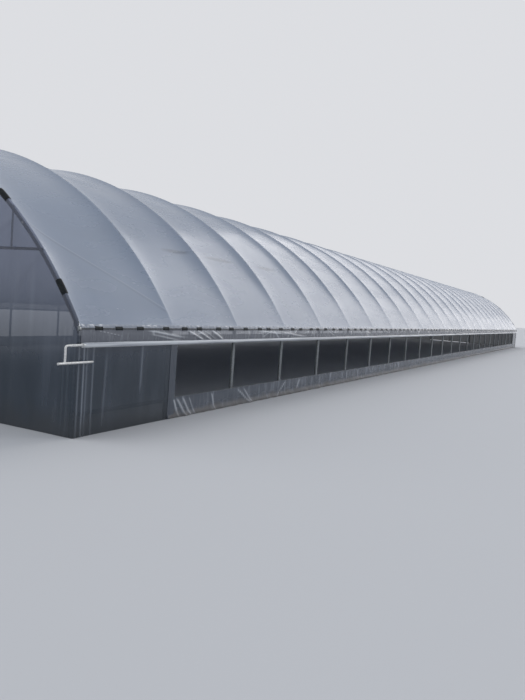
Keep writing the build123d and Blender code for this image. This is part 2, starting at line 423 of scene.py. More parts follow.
def grid_mesh(name, x, y, z, flip=False, highlight_and_frame=None):
    """A sheet of quads over rows and columns of points, with an attribute for where the film is painted
    paler: a painted highlight on its folds, or the door frame behind it.
    """
    points = np.stack(np.broadcast_arrays(x, y, z), axis=-1)
    rows, cols = points.shape[:2]
    index = np.arange(rows * cols).reshape(rows, cols)
    quads = np.stack([index[:-1, :-1], index[:-1, 1:], index[1:, 1:], index[1:, :-1]], axis=-1)
    quads = quads.reshape(-1, 4)
    if flip:
        quads = quads[:, ::-1]
    mesh = bpy.data.meshes.new(name)
    mesh.from_pydata(points.reshape(-1, 3).tolist(), [], quads.tolist())
    if highlight_and_frame is not None:
        layer = mesh.attributes.new("highlight_and_frame", "FLOAT", "POINT")
        layer.data.foreach_set("value", highlight_and_frame.ravel())
    mesh.shade_smooth()
    return mesh


def add_sheet(name, material, x, y, z, flip=False, highlight_and_frame=None):
    return to_object(name, grid_mesh(name, x, y, z, flip, highlight_and_frame), material)


def below_arch(side, share):
    """The film's straight run from an arch's foot at 0 to the eave tube at 1, as y and z."""
    foot_y, foot_z = on_arc(crest, foot_angle)
    tube_y = eave_y + film_on_tube * math.sin(foot_angle)
    tube_z = eave_z + film_on_tube * math.cos(foot_angle)
    return side * (foot_y + share * (tube_y - foot_y)), foot_z + share * (tube_z - foot_z)


def roof_section(t):
    """The film's line from one eave tube to the other, at a share of the way from one arch to the next."""
    swell = sag_share(t)
    angles = np.linspace(-foot_angle, foot_angle, arc_rows + 1)
    line = [on_arc(crest - dip_depth(angle) * swell, angle) for angle in angles]
    for share in runs_down:
        dip = dip_ends * swell * (1 - share)
        for side, _ in sides:
            y, z = below_arch(side, share)
            dipped = (y - side * dip * math.sin(foot_angle), z - dip * math.cos(foot_angle))
            line.insert(0 if side < 0 else len(line), dipped)
    return line


section_y, section_z = np.moveaxis(np.array([roof_section(t) for t in columns]), -1, 0)
bay_mesh = grid_mesh("film over one bay", bay * columns[:, None], section_y, section_z, flip=True)


def combine_places(tree, operation, first, second=(0, 0, 0)):
    """Both results of vector arithmetic, named Value and Vector."""
    node = tree.nodes.new("ShaderNodeVectorMath")
    node.operation = operation
    fill(tree, node.inputs[0], first)
    fill(tree, node.inputs[1], second)
    return node.outputs


def distance_from(tree, point, stretch=(1, 1, 1)):
    """How far a place is from a point, once both are stretched along each axis."""
    stretched = [a * b for a, b in zip(point, stretch)]
    return combine_places(tree, "DISTANCE", place(tree, stretch), stretched)["Value"]


def either_side(tree, value, middle=0):
    """How far a value is from a middle one, above or below it."""
    return combine(tree, "ABSOLUTE", combine(tree, "SUBTRACT", value, middle))


milky = (0.222, 0.275, 0.37)
milky_pale = (0.245, 0.30, 0.395)
# A dirty grey for the film, also used for the braces' painted shadow.
dirt_and_shadow_grey = (0.16, 0.18, 0.22)
# A few short dark blue-grey marks on the film, each darker than the film around it.
dark_mark_grey = (0.055, 0.075, 0.11)
dark_mark_angle = math.radians(43.2)
dark_mark_radius = crest - 0.06
dark_mark_thinness = 26
dark_marks = ((-16.08, 0.36), (-14.98, 0.38), (-13.45, 0.3))
milky_film, tree, shader = new_material("milky film", milky, roughness=0.26, Alpha=0.95,
                                        Specular_IOR_Level=0.9, Transmission_Weight=0.08)
colour = tint(tree, spread(tree, noise(tree, 0.5, (1, 1, 1), 3), 0.35, 0.7), milky, milky_pale)
colour = tint(tree, spread(tree, noise(tree, 1.7, (0.4, 1, 1), 2), 0.5, 0.8, 0, 0.12), colour, dirt_and_shadow_grey)
for dark_mark_x, reach in dark_marks:
    dark_mark = (dark_mark_x, *on_arc(dark_mark_radius, -dark_mark_angle))
    away = distance_from(tree, dark_mark, (1 / reach, dark_mark_thinness, dark_mark_thinness))
    ragged = combine(tree, "ADD", away, combine(tree, "MULTIPLY", noise(tree, 11), 0.9))
    colour = tint(tree, spread(tree, ragged, 0.9, 1.9, 0.5, 0), colour, dark_mark_grey)

# The braces lie close under the film in the end bays. A painted shadow along each, and a painted lit edge
# above each, stand for them on the film.
brace_lit = (0.55, 0.60, 0.68)
brace_lit_offset = 0.034
high, low = brace_ends(1, 1)
middle_angle = sum(brace_angles) / 2
brace_side = (low - high).cross(Vector((0, math.sin(middle_angle), math.cos(middle_angle)))).normalized()
mirrored = combine_places(tree, "ABSOLUTE", place(tree))["Vector"]
across = combine_places(tree, "DOT_PRODUCT", mirrored, brace_side)["Value"]
from_brace = combine(tree, "SUBTRACT", across, brace_side.dot(high))
end_bays = combine(tree, "GREATER_THAN", either_side(tree, along(tree, "X")), far_x - bay)
shadow = spread(tree, either_side(tree, from_brace), 0.008, 0.026, 0.3, 0)
# Painted shadow of the braces, in the dirty grey.
colour = tint(tree, combine(tree, "MULTIPLY", shadow, end_bays), colour, dirt_and_shadow_grey)
lit_edge = spread(tree, either_side(tree, from_brace, -brace_lit_offset), 0.002, 0.014, 0.2, 0)
colour = tint(tree, combine(tree, "MULTIPLY", lit_edge, end_bays), colour, brace_lit)

# Along each arch a thin pale line is painted on the film as a highlight, where it is tight over the tube.
arch_highlight = (0.50, 0.56, 0.66)
from_arch = combine(tree, "PINGPONG", combine(tree, "SUBTRACT", along(tree, "X"), near_x), bay / 2)
colour = tint(tree, spread(tree, from_arch, 0.006, 0.03, 0.3, 0), colour, arch_highlight)
pull_lines = noise(tree, 5, (1, 0.12, 0.12), 1)
sheen = spread(tree, noise(tree, 3, (0.4, 1, 1)), 0.3, 0.7, 0.22, 0.3)
surface(tree, shader, colour, pull_lines, 0.0015, roughness=sheen)

film_row = repeating_tree("film over the arches", weld=0.0004)
half_bays = bay_count // 2
for label, first, count in (("near", 0, half_bays), ("far", half_bays, bay_count - half_bays)):
    template = to_object("film over one bay", bay_mesh.copy())
    film = repeated(
        f"{label}_roof_film", film_row, template, Finish=milky_film,
        Count=count, Start=(near_x + first * bay, 0, 0), Step=(bay, 0, 0),
    )
    thick = film.modifiers.new("thickness", "SOLIDIFY")
    thick.thickness = film_thickness
    thick.offset = 1
    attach(film, "root")
    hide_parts("roof_film")

# Side curtains
# The film that hangs from each eave tube. It is gathered where the black clips pinch it to the tube.
# Below them it falls to the tube that it is rolled up on, with creases that run down and along.
roll_radius = 0.0225
roll_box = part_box("back_curtain_roll")
roll_y = roll_box[1].y - roll_radius
roll_z = (roll_box[0].z + roll_box[1].z) / 2
film_at_tube = eave_radius + 0.0036
curtain_y = eave_y + film_at_tube
curtain_step = 0.0125
laps = (0.036, 0.027, 0.019, 0.011, 0.004)
leaves_tube = 0.014
loose_z = eave_z - 0.02
curtain_rows = 18
gather_zone = (0.013, 0.034)
pleat_depth = 0.010
pleat_lengths = (0.04, 0.16)
pleat_lift = 0.004
pleat_slump = 0.3
usual_bunching = 0.55
bunching_change = 0.9
belly_depth = 0.003
furthest_in = -0.001


def curtain_section():
    """The curtain's section from the lap on the roof film down to the roll, as y and z."""
    start_y = eave_y + film_at_tube * math.sin(foot_angle)
    start_z = eave_z + film_at_tube * math.cos(foot_angle)
    lapped = [(start_y - lap * math.cos(foot_angle), start_z + lap * math.sin(foot_angle)) for lap in laps]
    round_tube = [
        (eave_y + film_at_tube * math.sin(angle), eave_z + film_at_tube * math.cos(angle))
        for angle in np.linspace(foot_angle, math.pi / 2, 4)
    ]
    hanging = [(curtain_y, z) for z in np.linspace(eave_z - leaves_tube, roll_z, curtain_rows)]
    return np.array(lapped + round_tube + hanging)


def waves(x, seed, lengths, count=5):
    """A soft irregular wave along x, between about -1 and 1."""
    rng = np.random.default_rng(seed)
    total = np.zeros_like(x)
    for _ in range(count):
        total += np.sin(2 * math.pi * x / rng.uniform(*lengths) + rng.uniform(0, 2 * math.pi))
    return total / count


def fold_height(x, v, folds):
    """Sharp-backed folds. Each is its foot's x, lean, width, height and run, from one v to another."""
    fade_beyond, fade_within = 0.15, 0.05
    total = np.zeros(np.broadcast(x, v).shape)
    for foot, lean, width, height, low, high in folds:
        off = (x - foot - lean * v) / width
        starts = ease(v, low - fade_beyond, low + fade_within)
        stops = ease(v, high - fade_within, high + fade_beyond)
        total += height * np.exp(-off**2) * (starts * (1 - stops))
    return total


def fold_shine(x, v, folds):
    """Where the folds are painted paler, from 0 to 1: a painted highlight, together with the whitening of
    stretched film.
    """
    full_height, back_share = 0.008, 0.75
    backs = [
        (foot, lean, back_share * width, min(1, abs(height) / full_height), low, high)
        for foot, lean, width, height, low, high in folds
    ]
    return np.clip(fold_height(x, v, backs), 0, 1)


def random_folds(seed, low_x, high_x, per_metre, lean, width, height):
    """Folds at random places. Those that turn inward are shallower."""
    inward, latest_start, run_lengths = -0.6, 0.5, (0.4, 0.9)
    rng = np.random.default_rng(seed)
    found = []
    for _ in range(int(per_metre * (high_x - low_x))):
        start = rng.uniform(0, latest_start)
        found.append((
            rng.uniform(low_x, high_x), rng.normal(0, lean), rng.uniform(*width),
            rng.uniform(*height) * rng.choice((inward, 1)), start, start + rng.uniform(*run_lengths),
        ))
    return found


def film_halves(reach, step, seed_step):
    """Each half of the film on each side: which it is, its places along X and its seed."""
    for side, label in sides:
        for end, low_x, shift in (("near", -reach, 3), ("far", 0, 5)):
            x = np.arange(round(reach / step) + 1) * step + low_x
            yield side, label, end, x, seed_step * (side + 2) + shift


def painted_pale(tree, colour, pale, strength):
    """A colour that turns paler where the mesh's attribute says: a painted highlight on the folds, or the
    door frame behind the film.
    """
    back = tree.nodes.new("ShaderNodeAttribute")
    back.attribute_name = "highlight_and_frame"
    return tint(tree, combine(tree, "MULTIPLY", back.outputs["Fac"], strength), colour, pale)


clear_sheet = (0.17, 0.18, 0.21)
lapped_sheet = (0.30, 0.33, 0.39)
creased_pale = (0.46, 0.48, 0.52)
fold_highlight = (0.78, 0.80, 0.83)
tube_shade = (0.03, 0.035, 0.045)
hanging_film, tree, shader = new_material("hanging film", clear_sheet, roughness=0.24, Alpha=0.78,
                                          Specular_IOR_Level=0.8)
above_clips = spread(tree, along(tree, "Z"), eave_z + 0.004, eave_z + 0.016)
colour = tint(tree, above_clips, clear_sheet, lapped_sheet)
colour = tint(tree, spread(tree, noise(tree, 30, (1, 1, 0.25)), 0.5, 0.8, 0, 0.25), colour, creased_pale)
# Painted highlight on the folds, from the mesh's attribute.
colour = painted_pale(tree, colour, fold_highlight, 0.85)
from_tube = either_side(tree, along(tree, "Z"), eave_z)
colour = tint(tree, spread(tree, from_tube, 0.006, 0.012, 0.9, 0), colour, tube_shade)
sheen = spread(tree, noise(tree, 20, (1, 1, 0.2)), 0.3, 0.7, 0.14, 0.3)
surface(tree, shader, colour, noise(tree, 34, (1, 1, 0.12), 3), 0.003, roughness=sheen)

section_points = curtain_section()
section_y, section_z = section_points.T
gather = ease(section_z - eave_z, *gather_zone)
fall = np.clip((loose_z - section_z) / (loose_z - roll_z), 0, 1)
rise = 1 - fall[:, None]
swing = np.sin(math.pi * np.clip(fall, 0.02, 0.98))[:, None]
strong_folds = [(-16.58, -0.37, 0.034, 0.012, 0, 1), (-16.40, -0.35, 0.030, 0.012, 0, 1),
                (-16.12, -0.30, 0.034, 0.012, 0, 1), (-16.27, -0.33, 0.012, 0.004, 0, 1),
                (-16.66, -1.0, 0.11, 0.008, 0.5, 1), (-17.01, -0.9, 0.08, 0.005, 0.2, 0.6),
                (-13.10, -2.0, 0.22, 0.007, 0.65, 1), (-13.22, -1.37, 0.14, 0.006, 0.3, 0.9)]
strong_folds_end = -15.9
eave_run = (0.7, 1.2)

for side, label, end, x, seed in film_halves(far_x, curtain_step, seed_step=11):
    folds = random_folds(seed, x[0], x[0] + far_x, per_metre=1.3, lean=0.3,
                         width=(0.018, 0.045), height=(0.002, 0.008))
    if (label, end) == ("front", "near"):
        folds = [fold for fold in folds if fold[0] > strong_folds_end] + strong_folds
    short_folds = random_folds(seed + 9, x[0], x[0] + far_x, per_metre=3, lean=0.5,
                               width=(0.012, 0.035), height=(0.003, 0.007))
    folds += [(*fold[:4], *eave_run) for fold in short_folds]
    bunching = usual_bunching + bunching_change * waves(x, seed + 7, (0.25, 1.1), 3)
    pleats = pleat_depth * waves(x, seed, pleat_lengths, 6) * bunching
    belly = belly_depth * waves(x, seed + 1, (0.3, 1.4), 5)
    out = np.outer(gather, pleats + pleat_lift) + np.outer(np.sin(math.pi * fall), belly)
    out += fold_height(x, rise, folds) * swing
    # Painted highlights where the folds stand out and where the pleats bulge.
    shine = fold_shine(x, rise, folds) * (fall > 0)[:, None]
    shine += np.outer(gather, np.clip(pleats / pleat_lift, 0, 1))
    y = side * (section_y[:, None] + np.maximum(out, furthest_in))
    z = section_z[:, None] + np.outer(gather, pleat_slump * pleats)
    curtain = add_sheet(f"{label}_{end}_curtain", hanging_film, x, y, z, flip=side > 0, highlight_and_frame=shine)
    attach(curtain, "root")
    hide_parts(f"{label}_curtain_film")

# Eave clips
# Short snap-on sleeves of black plastic that pinch the film to the eave tube, four to a bay.
# Each was pressed on by hand, so they stand a little unevenly.
clip_length = 0.105
clip_wall = 0.0026
clip_radius = film_at_tube + 0.0012
clip_rib = 0.008
clip_rib_radius = film_at_tube + 0.003
clip_wander = 0.06
clip_tilt = 0.25
clips_per_bay = 4
clip_spacing = bay / clips_per_bay
black = (0.006, 0.009, 0.011)
scuffed_black = (0.022, 0.025, 0.026)
black_plastic, tree, shader = new_material("black plastic", black, roughness=0.5, Specular_IOR_Level=0.2)
colour = tint(tree, spread(tree, noise(tree, 40), 0.4, 0.8), black, scuffed_black)
surface(tree, shader, colour, noise(tree, 300), 0.0002)

for side, label in sides:
    sleeve = bmesh.new()
    centre = (0, side * eave_y, eave_z)
    opening = (0, side, clip_tilt)
    add_ring(sleeve, centre, (1, 0, 0), opening, clip_radius, clip_wall, clip_length, sweep=190, steps=11)
    for shift in (-0.5, 0.5):
        centre = (shift * (clip_length - clip_rib), side * eave_y, eave_z)
        add_ring(sleeve, centre, (1, 0, 0), opening, clip_rib_radius, clip_wall, clip_rib, sweep=180,
                 steps=9)
    clips = repeated(
        f"{label}_eave_clips", loose_row, to_object("eave clip", sleeve), Finish=black_plastic,
        Count=bay_count * clips_per_bay, Start=(near_x + 0.5 * clip_spacing, 0, 0),
        Step=(clip_spacing, 0, 0), Wander=(clip_wander, 0, 0), Seed=7 + side,
    )
    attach(clips, "root")

# Curtain rolls
# A thin galvanised tube with the spare film wound on it by the crank, so its folds run along it.
# The film stops short of the gables and the bare tube runs on to the crank.
wound_radius = 0.0246
wound_taper = 0.06
bare_share = 0.88
wound_twist = 0.5
ridge_swell = 0.0011
fine_swell = 0.0006
long_swell = 0.0009
wound_steps = 940
wound_sides = 18
wound_white = (0.66, 0.68, 0.70)
wound_grey = (0.36, 0.38, 0.42)
roll_steel = galvanised("bright galvanised tube", (0.70, 0.71, 0.71), (0.52, 0.53, 0.53), soil_height=0)
finish_nodes(roll_steel, "front_curtain_roll", "back_curtain_roll")
wound_film, tree, shader = new_material("wound film", wound_grey, roughness=0.3, Specular_IOR_Level=0.6)
folds_along = noise(tree, 30, (0.03, 1, 1))
colour = tint(tree, spread(tree, folds_along, 0.35, 0.65), wound_grey, wound_white)
surface(tree, shader, colour, folds_along, 0.004)

for side, label in sides:
    x = np.linspace(near_x, far_x, wound_steps + 1)
    turn = (np.arange(wound_sides + 1) % wound_sides * 2 * math.pi / wound_sides)[:, None]
    twist = turn + wound_twist * waves(x, 31 + side, (3, 9))
    swell = ridge_swell * np.sin(3 * twist + 1.3 * x) + long_swell * waves(x, 41 + side, (0.2, 0.9))
    swell += fine_swell * np.sin(7 * twist - 0.7 * x)
    to_end = np.minimum(x - near_x, far_x - x)
    radius = (wound_radius + swell) * (bare_share + (1 - bare_share) * ease(to_end, 0, wound_taper))
    y = side * roll_y + radius * np.cos(turn)
    z = roll_z + radius * np.sin(turn)
    shell = bmesh.new()
    shell.from_mesh(grid_mesh("wound film", x, y, z))
    bmesh.ops.remove_doubles(shell, verts=shell.verts, dist=0.00001)
    open_edges = [edge for edge in shell.edges if edge.is_boundary]
    bmesh.ops.holes_fill(shell, edges=open_edges, sides=0)
    wound = to_object(f"{label}_wound_film", shell, wound_film, smooth=True)
    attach(wound, "root")

# Cranks
# A thin bright tube bent down from the end of each roll, with a bar welded across its foot.
# Hands keep the bar's zinc bright.
crank_steel = galvanised("handled galvanised bar", (0.80, 0.80, 0.79), (0.64, 0.64, 0.63), soil_height=0)
finish_nodes(crank_steel, "front_crank", "back_crank")

# Low film
# A strip of the same film from the base rail down to the ground, where its foot is turned out.
# It is pulled by hand, so it is full of short creases and splashed with soil.
side_film_y = eave_y + 0.0015
base_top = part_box("front_base_film")[1].z
film_foot = 0.012
low_film_step = 0.015
foot_turn_height = 0.07
foot_turn = 0.018
foot_turn_change = 0.012
foot_curl = 1.5
foot_wave = 0.004
ground_gap = 0.002
low_belly = 0.0035
low_sheet = (0.085, 0.10, 0.125)
low_sheet_pale = (0.36, 0.38, 0.43)
low_fold_highlight = (0.66, 0.68, 0.72)
splashed_soil = (0.11, 0.095, 0.08)
soiled_film, tree, shader = new_material("low film", low_sheet, roughness=0.26, Alpha=0.9,
                                         Specular_IOR_Level=0.6)
streaks = spread(tree, noise(tree, 16, (1, 1, 0.15)), 0.45, 0.75, 0, 0.55)
colour = tint(tree, streaks, low_sheet, low_sheet_pale)
# Painted highlight on the folds, from the mesh's attribute.
colour = painted_pale(tree, colour, low_fold_highlight, 0.85)
splashed = splash(tree, 6, 0.16)
colour = tint(tree, spread(tree, splashed, -0.08, 0.04, 0.7, 0), colour, splashed_soil)
sheen = spread(tree, splashed, -0.08, 0.06, 0.6, 0.24)
surface(tree, shader, colour, noise(tree, 30, (1, 1, 0.15), 3), 0.003, roughness=sheen)

low_film_rows = (film_foot, 0.02, 0.035, 0.06, 0.09, 0.12, 0.15, 0.18, 0.205, 0.225, 0.24, base_top)
heights = np.array(low_film_rows)[:, None]
rise = (heights - film_foot) / (base_top - film_foot)
inner_x = far_x - bay
pulled_folds = [(-17.05, -0.115, 0.020, 0.010, 0, 0.9), (-16.90, -0.2, 0.022, 0.011, 0, 0.85),
                (-16.80, -0.18, 0.020, 0.010, 0, 0.85), (-16.70, -0.14, 0.012, 0.006, 0, 0.8),
                (-16.23, -0.09, 0.016, 0.008, 0, 0.85), (-15.28, -0.4, 0.022, 0.011, 0, 0.8),
                (-15.22, -0.275, 0.018, 0.009, 0.05, 0.8), (-14.40, 0.34, 0.020, 0.008, 0, 0.8)]
pulled_folds_end = -14.2

for side, label, end, x, seed in film_halves(inner_x, low_film_step, seed_step=71):
    folds = random_folds(seed, x[0], x[0] + inner_x, per_metre=2.2, lean=0.12,
                         width=(0.01, 0.022), height=(0.002, 0.008))
    if (label, end) == ("front", "near"):
        folds = [fold for fold in folds if fold[0] > pulled_folds_end] + pulled_folds
    out = low_belly * np.sin(math.pi * rise) * waves(x, seed, (0.2, 0.9), 5)
    out += fold_height(x, rise, folds) * (1 - rise**6)
    shine = fold_shine(x, rise, folds) * (1 - rise**10)
    turned_out = foot_turn + foot_turn_change * waves(x, seed + 2, (0.15, 0.8), 6)
    out += (1 - ease(heights, film_foot, foot_turn_height)) ** foot_curl * turned_out
    z = np.repeat(heights, len(x), axis=1)
    z[0] = ground_gap + foot_wave * (1 + waves(x, seed + 3, (0.1, 0.5), 6))
    y = side * (side_film_y + np.maximum(out, furthest_in))
    low_film = add_sheet(f"{label}_{end}_low_film", soiled_film, x, y, z, flip=side < 0, highlight_and_frame=shine)
    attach(low_film, "root")
    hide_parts(f"{label}_base_film")

# End bay panels
# Clear film fixed from the eave tube to the ground, between each corner post and the first inner one.
# It hangs in soft upright folds. Its edge is doubled and taped down the inner post.
clear = (0.03, 0.043, 0.06)
clear_lit_high = (0.45, 0.485, 0.62)
run_pale = (0.23, 0.26, 0.32)
clear_highlight_and_frame = (0.44, 0.48, 0.54)
splashed_grey = (0.055, 0.056, 0.056)
clear_film, tree, shader = new_material("clear film", clear, roughness=0.2, Specular_IOR_Level=0.5)
tree.links.new(spread(tree, along(tree, "Z"), 0.9, 2.3, 0.88, 0.55), shader.inputs["Alpha"])
# The film is painted darker low down and lighter high up, as painted shade and light.
colour = tint(tree, spread(tree, along(tree, "Z"), 0.5, 2.7), clear, clear_lit_high)
runs = spread(tree, noise(tree, 5, (1, 1, 0.12), 3), 0.4, 0.75, 0, 0.16)
colour = tint(tree, runs, colour, run_pale)
# Painted highlight on the folds and gathers, and the paler door frame behind the door film, from the mesh's
# attribute.
colour = painted_pale(tree, colour, clear_highlight_and_frame, 0.6)

# Where the same film lies against a tube of the gable, a painted shadow darkens it along the tube.
painted_tube_shadow = (0.035, 0.04, 0.06)
tie_edge = (0.5 * tie_radius, 1.2 * tie_radius)
tube_edge = (0.012, tube_radius)
across = either_side(tree, along(tree, "Y"))
height = along(tree, "Z")
above_header = combine(tree, "GREATER_THAN", height, header_z)
below_header = combine(tree, "LESS_THAN", height, header_z)
from_centre = distance_from(tree, (0, 0, arch_centre), (0, 1, 1))
tube_shadows = spread(tree, either_side(tree, height, header_z), *tie_edge, 0.75, 0)
for measure, tube_place, edge, strength, zone in (
    (across, stud_y, tie_edge, 0.6, above_header),
    (across, door_post_y, tube_edge, 0.6, below_header),
    (from_centre, arch_radius, tube_edge, 0.7, 1),
):
    tube_shadow = spread(tree, either_side(tree, measure, tube_place), *edge, strength, 0)
    tube_shadows = combine(tree, "MAXIMUM", tube_shadows, combine(tree, "MULTIPLY", tube_shadow, zone))
in_gable = combine(tree, "GREATER_THAN", either_side(tree, along(tree, "X")), far_x + tube_radius / 2)
colour = tint(tree, combine(tree, "MULTIPLY", tube_shadows, in_gable), colour, painted_tube_shadow)
colour = tint(tree, spread(tree, splash(tree, 5, 0.3), -0.15, 0.2, 0.6, 0), colour, splashed_grey)
sheen = spread(tree, runs, 0, 1, 0.14, 0.3)
surface(tree, shader, colour, noise(tree, 9, (1, 1, 0.15), 3), 0.006, roughness=sheen)

panel_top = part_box("near_front_panel")[1].z
panel_heights = np.linspace(ground_gap, panel_top, 27)[:, None]
rise = panel_heights / panel_top
past_corner = 0.028
panel_length = far_x + past_corner - inner_x
corner_fold_width = 0.011
corner_folds = ((0.035, 0.005), (0.10, 0.008), (0.145, 0.004), (0.235, 0.005))
first_fold = 0.1
last_fold = panel_length - 0.3
rail_print = 0.004
rail_print_height = 0.012
panel_belly = 0.004
strip_inside = 0.015
strip_outside = 0.11
strip_foot = 0.004
strip_top = roll_z - 0.03
strip_y = side_film_y + 0.0045
strip_edge_wave = 0.003
strip_ripple = 0.0015
strip_turns = 90
tape_dark = (0.05, 0.06, 0.08)
tape_pale = (0.17, 0.19, 0.225)
edge_tape, tree, shader = new_material("doubled film edge", tape_dark, roughness=0.35, Alpha=0.72)
colour = tint(tree, noise(tree, 14, (1, 1, 0.1)), tape_dark, tape_pale)
surface(tree, shader, colour, noise(tree, 40, (1, 1, 0.3)), 0.002)

for side, side_label in sides:
    for end, end_label in ends:
        seed = 101 + 7 * side + 3 * end
        along_panel = np.linspace(0, panel_length, 141)
        folds = random_folds(seed, first_fold, last_fold, per_metre=2, lean=0.03,
                             width=(0.015, 0.04), height=(0.002, 0.004))
        folds += [
            (panel_length - to_corner, 0, corner_fold_width, height, 0, 1)
            for to_corner, height in corner_folds
        ]
        out = fold_height(along_panel, rise, folds)
        shine = fold_shine(along_panel, rise, folds)
        out += panel_belly * np.sin(math.pi * rise) * waves(along_panel, seed, (0.25, 0.9), 5)
        out += rail_print * np.exp(-((panel_heights - base_top) / rail_print_height) ** 2)
        x = end * (inner_x + along_panel)
        y = side * (side_film_y + np.maximum(out, furthest_in))
        panel = add_sheet(f"{end_label}_{side_label}_film_panel", clear_film, x, y, panel_heights,
                          flip=side * end > 0, highlight_and_frame=shine)
        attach(panel, "root")
        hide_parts(f"{end_label}_{side_label}_panel")

        strip_across = np.linspace(-strip_inside, strip_outside, 11)
        z = np.linspace(strip_foot, strip_top, 40)[:, None]
        x = end * (inner_x - strip_across + strip_edge_wave * waves(z, seed, (0.2, 0.6)))
        ripple = strip_ripple * waves(z, seed + 1, (0.06, 0.3)) * np.cos(strip_across * strip_turns)
        y = side * (strip_y + ripple)
        strip = add_sheet(f"{end_label}_{side_label}_edge_strip", edge_tape, x, y, z, flip=side * end < 0)
        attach(strip, "root")

# Gable film
# Clear film over each end arch and down its sides to the ground, cut out round the doorway.
# It is pulled to the clamps on the arch, and it is gathered in upright folds at the corner posts.
film_on_arch = tube_radius + 0.0018
gable_radius = arch_radius + tube_radius
doorway = door_post_y - tube_radius
low_rows = 30
high_rows = 26
corner_y = 3.78
fold_limit = 3.7
clamp_spacing = 15.35
clamp_angles = [math.radians(clamp_spacing * (i + 0.5)) for i in range(-4, 4)]
clamp_pull = 0.006
pull_width = 0.02
pull_reach = 0.22
gather_depth = 0.012
gather_fullness = 1.6
gable_belly = 0.005
hem_radius = film_on_arch + 0.0014
hem_turns = np.radians((102, 85, 68, 50, 32, 14, -4))[:, None]
hem_loose = np.array((0, 0, 0, 0, 0, 0.5, 1))[:, None]
hem_raggedness = 0.005


def gable_columns():
    """Places across the gable, closest at the corner posts, with one at each side of the doorway."""
    middle = np.linspace(-doorway, doorway, 41)
    outer = np.linspace(doorway, corner_y, 52)[1:]
    corner = np.linspace(corner_y, side_film_y, 22)[1:]
    right = np.concatenate([outer, corner])
    return np.concatenate([-right[::-1], middle, right])


gable_y = gable_columns()
top = arch_centre + np.sqrt(gable_radius**2 - gable_y**2)
knee = np.minimum(header_z, 0.62 * top)
share = np.concatenate([np.linspace(0, 1, low_rows + 1), np.linspace(1, 2, high_rows + 1)[1:]])[:, None]
z = np.where(share <= 1, share * knee, knee + (share - 1) * (top - knee))
y = np.broadcast_to(gable_y, z.shape)
radius = np.hypot(y, z - arch_centre)
angle = np.arctan2(y, z - arch_centre)
to_edge = gable_radius - radius
free = ease(to_edge, 0.02, 0.3)
held = ease(to_edge, 0.02, 0.09)
pulled = np.exp(-((to_edge / pull_reach) ** 2))
in_corner = ease(np.abs(y), corner_y - 0.02, corner_y + 0.06) * ease(1.1 - z, 0, 0.1)
wrapped = np.sqrt(film_on_arch**2 - np.clip(radius - arch_radius, 0, tube_radius) ** 2)

for end, label in ends:
    seed = 211 + end
    out = gable_belly * free * waves(gable_y, seed, (0.25, 1.1), 6)
    for clamp_angle in clamp_angles:
        out = out + clamp_pull * pulled * np.exp(-(((angle - clamp_angle) / pull_width) ** 2))
    gathers = np.clip(gather_fullness * waves(np.abs(y) - fold_limit, seed + 6, (0.05, 0.13), 4), 0, 1)
    out = out + in_corner * gather_depth * gathers
    folds = random_folds(seed, -fold_limit, fold_limit, per_metre=2.5, lean=0.05,
                         width=(0.02, 0.05), height=(0.001, 0.004))
    out = out + fold_height(y, z / arch_top, folds) * free
    # Painted highlights on the folds and on the gathers at the corners.
    shine = 0.45 * fold_shine(y, z / arch_top, folds) * free + 0.5 * in_corner * gathers
    x = end * (far_x + wrapped + np.maximum(out, 0) * held)
    cut = bmesh.new()
    cut.from_mesh(grid_mesh("gable film", x, y, np.maximum(z, ground_gap), flip=end < 0, highlight_and_frame=shine))
    in_doorway = [
        face for face in cut.faces
        if abs(face.calc_center_median().y) < doorway and face.calc_center_median().z < header_z
    ]
    bmesh.ops.delete(cut, geom=in_doorway, context="FACES")
    mesh = bpy.data.meshes.new("gable film")
    cut.to_mesh(mesh)
    cut.free()
    gable = to_object(f"{label}_gable_sheet", mesh, clear_film, smooth=True)
    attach(gable, "root")
    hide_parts(f"{label}_gable_film")

    hem_angles = np.linspace(-foot_angle, foot_angle, 320)
    ragged = hem_raggedness * hem_loose * waves(hem_angles * arch_radius, seed + 4, (0.08, 0.4), 6)
    r = arch_radius + hem_radius * np.sin(hem_turns) + ragged
    x = end * (far_x + hem_radius * np.cos(hem_turns))
    hem_y = r * np.sin(hem_angles)
    hem_z = arch_centre + r * np.cos(hem_angles)
    lapped = add_sheet(f"{label}_roof_film_edge", clear_film, x, hem_y, hem_z, flip=end < 0)
    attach(lapped, "root")

# Arch clamps
# Long snap-on clips of black plastic that hold both films to the end arches, about 1.2 m apart.
# Each has a thumb rib along its open edge.
clamp_length = 0.165
clamp_inner = film_on_arch + 0.0026
clamp_outer = clamp_inner + 0.004
clamp_turns = [math.radians(turn) for turn in np.linspace(-25, 190, 14)]
clamp_rib = [(math.radians(196), clamp_inner + 0.009), (math.radians(203), clamp_inner + 0.002)]
clamp_outline = [(turn, clamp_outer) for turn in clamp_turns] + clamp_rib
clamp_outline += [(turn, clamp_inner) for turn in clamp_turns[::-1]]
clamp_pinch = 0.0015

for end, label in ends:
    grips = bmesh.new()
    for clamp_angle in clamp_angles:
        loops = []
        for step in np.linspace(-0.5, 0.5, 9):
            at = clamp_angle + step * clamp_length / arch_radius
            pinch = clamp_pinch * abs(2 * step) ** 6
            loops.append([
                grips.verts.new((
                    end * (far_x + (r - pinch) * math.cos(turn)),
                    *on_arc(arch_radius + (r - pinch) * math.sin(turn), at),
                ))
                for turn, r in clamp_outline
            ])
        skin(grips, loops)
    clamps = to_object(f"{label}_arch_clamps", grips, black_plastic)
    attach(clamps, "root")

